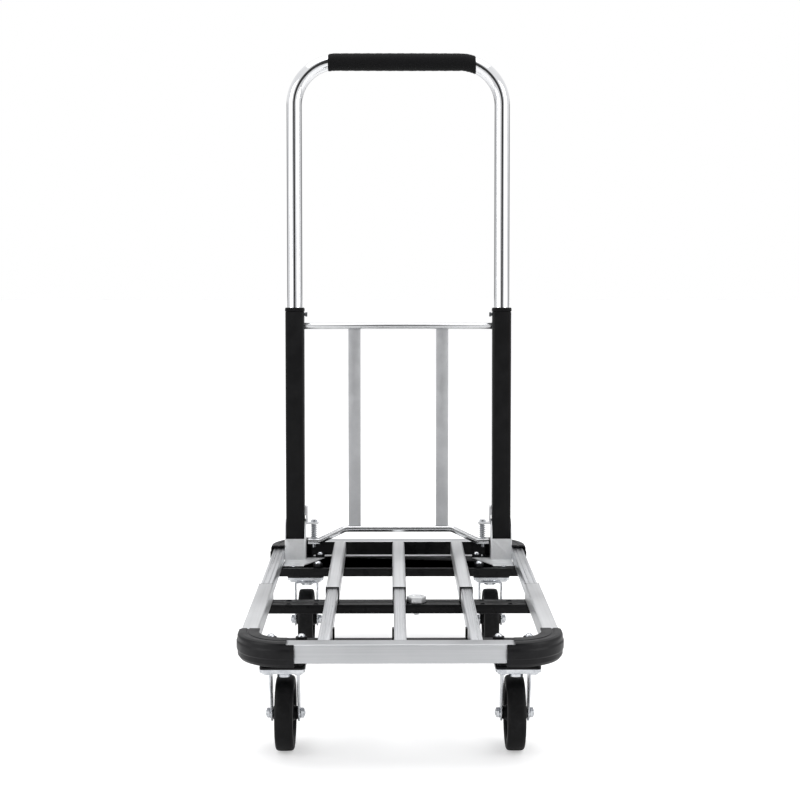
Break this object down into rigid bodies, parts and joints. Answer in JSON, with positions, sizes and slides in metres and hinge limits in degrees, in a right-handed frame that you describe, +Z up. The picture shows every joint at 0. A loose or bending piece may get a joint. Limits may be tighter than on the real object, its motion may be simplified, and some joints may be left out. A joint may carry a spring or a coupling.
{
  "type": "folding platform cart",
  "caption": "Low tube deck on swivel casters that telescopes in length, with corner bumpers and a folding, telescoping U-shaped push handle held by a spring-loaded release frame.",
  "frame": {"origin": "on the floor, at the centre of the deck's bumper rectangle", "axes": "+X to the right seen from the front, +Y towards the handle end, +Z up"},
  "size_m": [0.42, 0.7, 0.967],
  "materials": {
    "alu_extrusion": "satin extruded",
    "alu_crossbar": "satin extruded",
    "black_steel": "black powder coat",
    "bumper_plastic": "moulded, fine grain",
    "bright_zinc": "bright zinc plate",
    "bolt_zinc": "bright zinc plate",
    "nut_black": "black oxide",
    "bracket_zinc": "satin zinc plate",
    "silver_paint": "silver enamel",
    "tyre_rubber": "solid rubber",
    "hub_plastic": "moulded",
    "upright_coat": "black textured powder coat",
    "collar_plastic": "moulded",
    "chrome": "bright chrome",
    "foam": "closed-cell foam",
    "spring_steel": "zinc-plated wire",
    "button_steel": "plain steel"
  },
  "bodies": {
    "rear_frame": {"rear_crossbar": "alu_crossbar", "rear_pan": "black_steel", "rear_bumper_left": "bumper_plastic", "rear_bumper_right": "bumper_plastic", "rear_corner_plates": "black_steel", "side_rail_left": "alu_extrusion", "side_rail_right": "alu_extrusion", "deck_sleeve_left": "alu_extrusion", "deck_sleeve_centre": "alu_extrusion", "deck_sleeve_right": "alu_extrusion", "mid_beam": "black_steel", "foot_bracket_left": "bracket_zinc", "foot_bracket_right": "bracket_zinc", "rear_caster_plates": "bright_zinc", "rear_caster_bolts": "bolt_zinc", "rear_caster_nuts": "nut_black", "pivot_pins": "bolt_zinc"},
    "front_frame": {"front_crossbar": "alu_crossbar", "front_pan": "black_steel", "front_bumper_left": "bumper_plastic", "front_bumper_right": "bumper_plastic", "front_corner_plates": "black_steel", "side_sleeve_left": "alu_extrusion", "side_sleeve_right": "alu_extrusion", "deck_tube_left": "alu_extrusion", "deck_tube_centre": "alu_extrusion", "deck_tube_right": "alu_extrusion", "front_caster_plates": "bright_zinc", "front_caster_bolts": "bolt_zinc", "front_caster_nuts": "nut_black"},
    "handle": {"upright_left": "upright_coat", "upright_right": "upright_coat", "upright_collars": "collar_plastic", "spring_tabs": "bracket_zinc", "spring_bolts": "bolt_zinc", "release_springs": "spring_steel"},
    "release_frame": {"release_top_bar": "silver_paint", "release_slats": "silver_paint", "release_lower_bar": "silver_paint"},
    "chrome_tube": {"chrome_handle": "chrome", "foam_grip": "foam"},
    "button_left": {"snap_button_left": "button_steel"},
    "button_right": {"snap_button_right": "button_steel"},
    "knob": {"lock_knob": "bolt_zinc"},
    "caster_front_left": {"fork_front_left": "bright_zinc", "axle_front_left": "bolt_zinc"},
    "wheel_front_left": {"hub_front_left": "hub_plastic", "tyre_front_left": "tyre_rubber"},
    "caster_front_right": {"fork_front_right": "bright_zinc", "axle_front_right": "bolt_zinc"},
    "wheel_front_right": {"hub_front_right": "hub_plastic", "tyre_front_right": "tyre_rubber"},
    "caster_rear_left": {"fork_rear_left": "bright_zinc", "axle_rear_left": "bolt_zinc"},
    "wheel_rear_left": {"hub_rear_left": "hub_plastic", "tyre_rear_left": "tyre_rubber"},
    "caster_rear_right": {"fork_rear_right": "bright_zinc", "axle_rear_right": "bolt_zinc"},
    "wheel_rear_right": {"hub_rear_right": "hub_plastic", "tyre_rear_right": "tyre_rubber"}
  },
  "joints": [
    {"name": "handle_fold", "type": "hinge", "parent": "rear_frame", "child": "handle", "pos_m": [0, 0.296, 0.194], "axis": [1, 0, 0], "range_deg": [0, 92.9]},
    {"name": "handle_telescope", "type": "slide", "parent": "handle", "child": "chrome_tube", "axis": [0, -0.0506, -0.9987], "range_m": [0, 0.26]},
    {"name": "release_lift", "type": "slide", "parent": "handle", "child": "release_frame", "axis": [0, 0.0506, 0.9987], "range_m": [0, 0.009], "stiffness_N_per_m": 1500, "springref_m": -0.01, "deforming": ["release_springs"]},
    {"name": "button_press_left", "type": "slide", "parent": "handle", "child": "button_left", "axis": [-1, 0, 0], "range_m": [0, 0.0019], "stiffness_N_per_m": 1000, "springref_m": -0.002},
    {"name": "button_press_right", "type": "slide", "parent": "handle", "child": "button_right", "axis": [1, 0, 0], "range_m": [0, 0.0019], "stiffness_N_per_m": 1000, "springref_m": -0.002},
    {"name": "deck_slide", "type": "slide", "parent": "rear_frame", "child": "front_frame", "axis": [0, 1, 0], "range_m": [0, 0.18]},
    {"name": "knob_turn", "type": "hinge", "parent": "rear_frame", "child": "knob", "pos_m": [0.025, -0.0145, 0.14], "axis": [0, 0, 1], "range_deg": [0, 180]},
    {"name": "swivel_front_left", "type": "hinge", "parent": "front_frame", "child": "caster_front_left", "pos_m": [-0.15, -0.27, 0.11], "axis": [0, 0, 1], "continuous": true},
    {"name": "wheel_spin_front_left", "type": "hinge", "parent": "caster_front_left", "child": "wheel_front_left", "pos_m": [-0.15, -0.254, 0.049], "axis": [1, 0, 0], "continuous": true},
    {"name": "swivel_front_right", "type": "hinge", "parent": "front_frame", "child": "caster_front_right", "pos_m": [0.15, -0.27, 0.11], "axis": [0, 0, 1], "continuous": true},
    {"name": "wheel_spin_front_right", "type": "hinge", "parent": "caster_front_right", "child": "wheel_front_right", "pos_m": [0.15, -0.254, 0.049], "axis": [1, 0, 0], "continuous": true},
    {"name": "swivel_rear_left", "type": "hinge", "parent": "rear_frame", "child": "caster_rear_left", "pos_m": [-0.15, 0.27, 0.11], "axis": [0, 0, 1], "continuous": true},
    {"name": "wheel_spin_rear_left", "type": "hinge", "parent": "caster_rear_left", "child": "wheel_rear_left", "pos_m": [-0.15, 0.254, 0.049], "axis": [1, 0, 0], "continuous": true},
    {"name": "swivel_rear_right", "type": "hinge", "parent": "rear_frame", "child": "caster_rear_right", "pos_m": [0.15, 0.27, 0.11], "axis": [0, 0, 1], "continuous": true},
    {"name": "wheel_spin_rear_right", "type": "hinge", "parent": "caster_rear_right", "child": "wheel_rear_right", "pos_m": [0.15, 0.254, 0.049], "axis": [1, 0, 0], "continuous": true}
  ]
}
